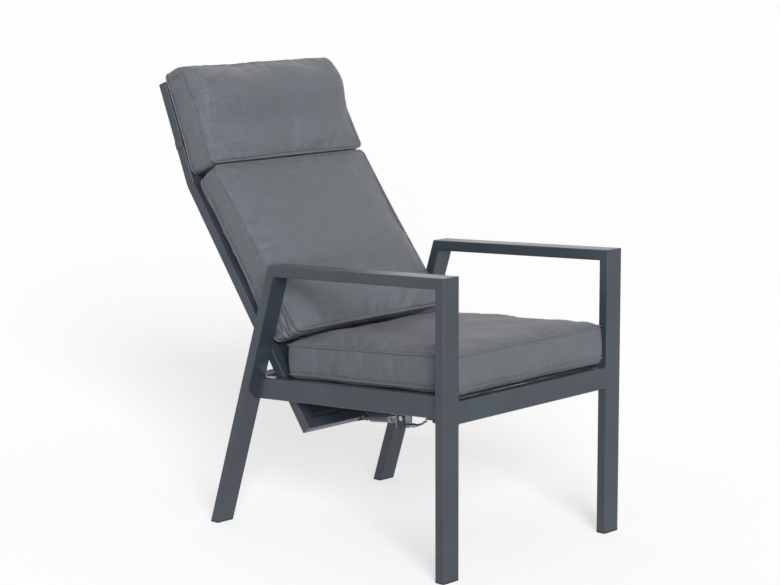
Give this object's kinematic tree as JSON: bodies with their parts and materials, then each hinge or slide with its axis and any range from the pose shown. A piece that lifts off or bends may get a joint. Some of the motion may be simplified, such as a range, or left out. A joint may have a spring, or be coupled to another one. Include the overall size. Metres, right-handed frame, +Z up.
{
  "type": "reclining garden armchair",
  "caption": "Garden armchair with a tubular aluminium frame, flat armrests, a loose seat cushion and a reclining cushioned back held by a gas spring with a cable release.",
  "frame": {"origin": "on the floor, at the centre of the chair's bounding box seen from above", "axes": "+Z up, -Y the way the sitter faces, +X towards the sitter's left"},
  "size_m": [0.6, 0.9674, 1.057],
  "materials": {
    "frame": "satin powder coat",
    "glide": "moulded",
    "sling": "open mesh weave",
    "sling_rod": "extruded",
    "fastener": "zinc plated",
    "bush": "moulded nylon",
    "cylinder": "satin paint",
    "rod": "hard chrome",
    "zinc": "cast zinc",
    "wire": "stranded wire",
    "sheath": "smooth jacket",
    "handle": "moulded",
    "cushion": "woven outdoor cloth",
    "strap": "elastic webbing"
  },
  "bodies": {
    "frame": {"right_front_leg": "frame", "left_front_leg": "frame", "right_armrest": "frame", "left_armrest": "frame", "right_rear_leg": "frame", "left_rear_leg": "frame", "right_side_rail": "frame", "left_side_rail": "frame", "front_rail": "frame", "rear_rail": "frame", "spring_cross_bar": "frame", "right_front_glide": "glide", "left_front_glide": "glide", "right_rear_glide": "glide", "left_rear_glide": "glide", "seat_sling": "sling", "seat_sling_rods": "sling_rod", "pivot_inserts": "fastener", "pivot_bolts": "fastener", "front_lug": "frame", "front_pin": "fastener", "handle_housing": "handle", "handle_pin": "fastener", "handle_screws": "fastener", "cable_sheath": "sheath", "seat_cushion": "cushion"},
    "back": {"right_back_tube": "frame", "left_back_tube": "frame", "back_top_bar": "frame", "right_bottom_bar": "frame", "left_bottom_bar": "frame", "spring_yoke": "frame", "rear_pin": "fastener", "back_sling": "sling", "back_sling_rods": "sling_rod", "pivot_bushes": "bush", "headrest_strap": "strap", "back_cushion": "cushion", "headrest_cushion": "cushion"},
    "spring_rod": {"spring_rod": "rod", "spring_piston": "rod", "release_head": "zinc", "lever_pin": "fastener", "cable_stop": "zinc"},
    "spring_cylinder": {"spring_cylinder": "cylinder", "cylinder_guide": "zinc", "cylinder_eye": "cylinder"},
    "valve_pin": {"valve_pin": "rod"},
    "release_lever": {"release_lever": "zinc"},
    "release_wire": {"release_wire": "wire"},
    "handle_lever": {"handle_lever": "handle"},
    "handle_wire": {"handle_wire": "wire"}
  },
  "joints": [
    {"name": "recline", "type": "hinge", "parent": "frame", "child": "back", "pos_m": [0, 0.05862, 0.34446], "axis": [1, 0, 0], "range_deg": [-3, 22]},
    {"name": "spring_swing", "type": "hinge", "parent": "frame", "child": "spring_rod", "pos_m": [-0.055, -0.13867, 0.2735], "axis": [1, 0, 0], "range_deg": [-7.2, 1]},
    {"name": "spring_stroke", "type": "slide", "parent": "spring_rod", "child": "spring_cylinder", "axis": [0, 0.993, -0.118], "range_m": [-0.0056, 0.0404]},
    {"name": "handle_pull", "type": "hinge", "parent": "frame", "child": "handle_lever", "pos_m": [-0.241, -0.42867, 0.352], "axis": [-1, 0, 0], "range_deg": [0, 12], "stiffness_Nm_per_rad": 4, "springref_deg": -1.72},
    {"name": "lever_turn", "type": "hinge", "parent": "spring_rod", "child": "release_lever", "pos_m": [-0.055, -0.12732, 0.26309], "axis": [-1, 0, 0], "range_deg": [0, 16.1]},
    {"name": "valve_press", "type": "slide", "parent": "spring_rod", "child": "valve_pin", "axis": [0, 0.993, -0.118], "range_m": [0, 0.003]},
    {"name": "wire_pull", "type": "slide", "parent": "spring_rod", "child": "release_wire", "axis": [0, -0.993, 0.118], "range_m": [0, 0.0025]},
    {"name": "handle_wire_pull", "type": "slide", "parent": "frame", "child": "handle_wire", "axis": [0, -1, 0], "range_m": [0, 0.0025]}
  ],
  "couplings": [
    {"joint": "spring_swing", "follows": "recline", "ratio": -0.3225},
    {"joint": "spring_stroke", "follows": "recline", "m_per_rad": 0.10485},
    {"joint": "lever_turn", "follows": "handle_pull", "ratio": 1.3333},
    {"joint": "valve_press", "follows": "handle_pull", "m_per_rad": 0.014324},
    {"joint": "wire_pull", "follows": "handle_pull", "m_per_rad": 0.011937},
    {"joint": "handle_wire_pull", "follows": "handle_pull", "m_per_rad": 0.011937}
  ]
}
